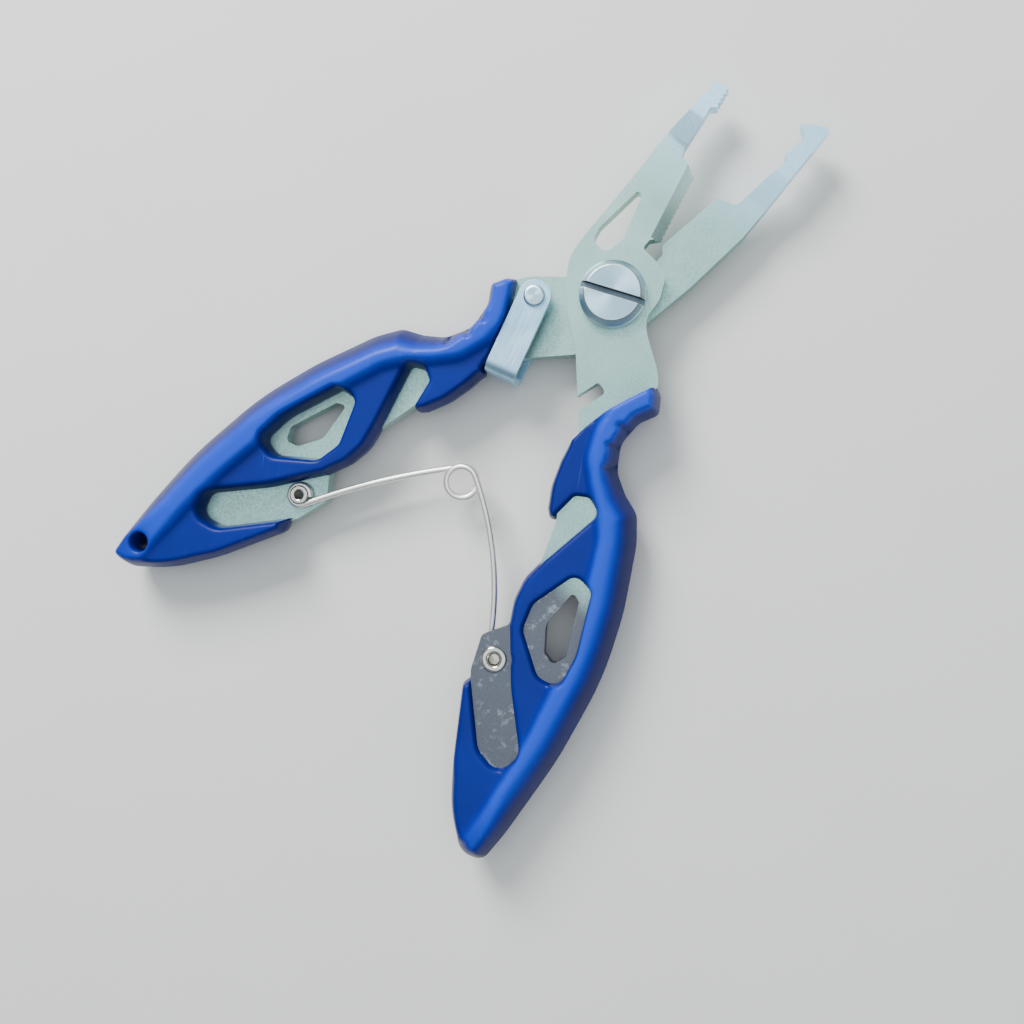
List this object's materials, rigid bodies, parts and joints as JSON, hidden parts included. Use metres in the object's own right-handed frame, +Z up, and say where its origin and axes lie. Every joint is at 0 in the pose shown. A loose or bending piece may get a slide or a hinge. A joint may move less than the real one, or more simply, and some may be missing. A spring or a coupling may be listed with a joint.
{
  "type": "split-ring pliers with line cutter",
  "caption": "Small fishing pliers with toothed split-ring tips, line-cutting blades, over-moulded grips, a swing latch and a wire return spring.",
  "frame": {"origin": "on the pivot axis, in the plane of the pivot nut's outer face that the tool lies on", "axes": "+X along the closed tool towards the jaws, +Y towards the upper plate's jaw, +Z up the pivot axis to the screw head"},
  "size_m": [0.1191, 0.077, 0.01],
  "materials": {
    "stamped_stainless": "satin stamped stainless steel with ground edges",
    "blue_moulding": "satin-gloss over-moulded thermoplastic",
    "turned_pivot_steel": "turned and plated, with a bright chamfer",
    "latch_steel": "brushed strip",
    "bright_plating": "bright nickel plating",
    "spring_wire": "bright drawn wire"
  },
  "bodies": {
    "upper_half": {"flat_jaw_plate": "stamped_stainless", "right_grip": "blue_moulding", "pivot_screw": "turned_pivot_steel", "pivot_nut": "turned_pivot_steel", "right_eyelet": "bright_plating"},
    "lower_half": {"hook_jaw_plate": "stamped_stainless", "left_grip": "blue_moulding", "latch_rivet": "latch_steel", "latch_spacer": "latch_steel", "left_eyelet": "bright_plating"},
    "latch": {"latch_strap": "latch_steel"},
    "spring_right": {"spring_leg_right": "spring_wire"},
    "spring_left": {"spring_leg_left": "spring_wire"}
  },
  "joints": [
    {"name": "jaw_pivot", "type": "hinge", "parent": "upper_half", "child": "lower_half", "pos_m": [0, 0, 0.005], "axis": [0, 0, 1], "range_deg": [0, 21.5], "stiffness_Nm_per_rad": 0.5, "springref_deg": -2.86},
    {"name": "latch_swing", "type": "hinge", "parent": "lower_half", "child": "latch", "pos_m": [-0.00725, 0.0092, 0.005], "axis": [0, 0, 1], "range_deg": [0, 36]},
    {"name": "spring_eye_turn", "type": "hinge", "parent": "upper_half", "child": "spring_right", "pos_m": [-0.054, -0.0201, 0.005], "axis": [0, 0, 1], "range_deg": [-14.2, 0]},
    {"name": "spring_coil_turn", "type": "hinge", "parent": "spring_right", "child": "spring_left", "pos_m": [-0.0363, 0.001, 0.005], "axis": [0, 0, 1], "range_deg": [0, 55.2]}
  ],
  "couplings": [
    {"joint": "spring_eye_turn", "follows": "jaw_pivot", "ratio": -0.6511},
    {"joint": "spring_coil_turn", "follows": "jaw_pivot", "ratio": 2.5564}
  ]
}
